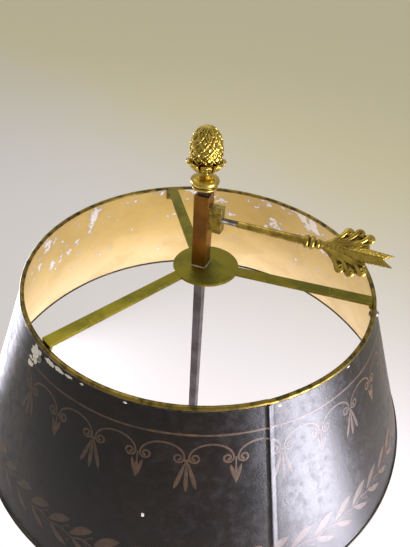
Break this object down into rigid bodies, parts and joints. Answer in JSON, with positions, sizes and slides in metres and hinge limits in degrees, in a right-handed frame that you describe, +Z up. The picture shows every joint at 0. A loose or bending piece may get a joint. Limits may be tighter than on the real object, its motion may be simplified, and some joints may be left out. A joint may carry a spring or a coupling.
{
  "type": "bouillotte lamp",
  "caption": "Table lamp with candle branches on a dish base and a painted metal shade that slides on a square rod, held by an arrow-shaped thumb screw under a pine-cone finial.",
  "frame": {"origin": "middle of the underside, on the surface that the lamp stands on", "axes": "+Z up along the rod, +X along the arrow screw"},
  "size_m": [0.424, 0.424, 0.6805],
  "materials": {
    "shade_lacquer": "black lacquer outside, ochre paint inside, worn",
    "rim_brass": "dull brass wire bead",
    "dark_wire": "lacquered wire",
    "spider_brass": "olive-brown patina",
    "fastener_steel": "dull plated steel",
    "sleeve_bronze": "brown patina, satin",
    "pad_brass": "turned",
    "arrow_gilt": "polished, darkened in the hollows",
    "rod_steel": "dark drawn steel",
    "finial_gilt": "bright gilt, darkened in the hollows",
    "stand_brass": "polished brass, softly aged",
    "candle_ivory": "ivory, waxy",
    "holder_plastic": "moulded phenolic",
    "cap_brass": "stamped",
    "bulb_glass": "clear",
    "felt": "green felt",
    "ballast_iron": "rough cast",
    "bush_plastic": "turned bush",
    "lead_insulation": "covered leads",
    "knob_black": "moulded knob"
  },
  "bodies": {
    "stand": {"tie_nut": "fastener_steel", "tie_washer": "fastener_steel", "square_rod": "rod_steel", "tie_rod": "rod_steel", "finial_base": "finial_gilt", "finial_leaf_cup": "finial_gilt", "pine_cone": "finial_gilt", "base_dish": "stand_brass", "gallery_ring": "stand_brass", "column_foot": "stand_brass", "column_stem": "stand_brass", "branch_boss": "stand_brass", "upper_stem": "stand_brass", "stem_cap": "stand_brass", "candle_arm_1": "stand_brass", "candle_arm_2": "stand_brass", "drip_pan_1": "stand_brass", "drip_pan_2": "stand_brass", "candle_cup_1": "stand_brass", "candle_cup_2": "stand_brass", "candle_tube_1": "candle_ivory", "candle_tube_2": "candle_ivory", "lampholder_1": "holder_plastic", "lampholder_2": "holder_plastic", "switch_body": "holder_plastic", "bulb_cap_1": "cap_brass", "bulb_cap_2": "cap_brass", "bulb_glass_1": "bulb_glass", "bulb_glass_2": "bulb_glass", "bottom_felt": "felt", "ballast_disc": "ballast_iron", "inlet_bush": "bush_plastic", "lead_wires": "lead_insulation"},
    "carriage": {"shade_panel": "shade_lacquer", "top_rim_wire": "rim_brass", "bottom_rim_wire": "dark_wire", "spider_hub": "spider_brass", "spider_arm_1": "spider_brass", "spider_arm_2": "spider_brass", "spider_arm_3": "spider_brass", "arm_tip_1": "spider_brass", "arm_tip_2": "spider_brass", "arm_tip_3": "spider_brass", "tip_screws": "fastener_steel", "tip_nuts": "fastener_steel", "slide_sleeve": "sleeve_bronze", "screw_block": "sleeve_bronze"},
    "clamp": {"clamp_pad": "pad_brass"},
    "arrow": {"arrow_shaft": "arrow_gilt", "arrow_collar": "arrow_gilt", "arrow_fletching": "arrow_gilt"},
    "knob": {"switch_knob": "knob_black"}
  },
  "joints": [
    {"name": "shade_slide", "type": "slide", "parent": "stand", "child": "carriage", "axis": [0, 0, 1], "range_m": [-0.226, 0.005]},
    {"name": "clamp_slide", "type": "slide", "parent": "carriage", "child": "clamp", "axis": [1, 0, 0], "range_m": [0, 0.0016]},
    {"name": "arrow_turn", "type": "hinge", "parent": "clamp", "child": "arrow", "pos_m": [0.1, 0, 0.6057], "axis": [1, 0, 0], "range_deg": [0, 730]},
    {"name": "switch_turn", "type": "hinge", "parent": "stand", "child": "knob", "pos_m": [0.01051, -0.0281, 0.1872], "axis": [0.3502, -0.9367, 0], "range_deg": [0, 90]}
  ],
  "couplings": [
    {"joint": "arrow_turn", "follows": "clamp_slide", "rad_per_m": 7854}
  ]
}
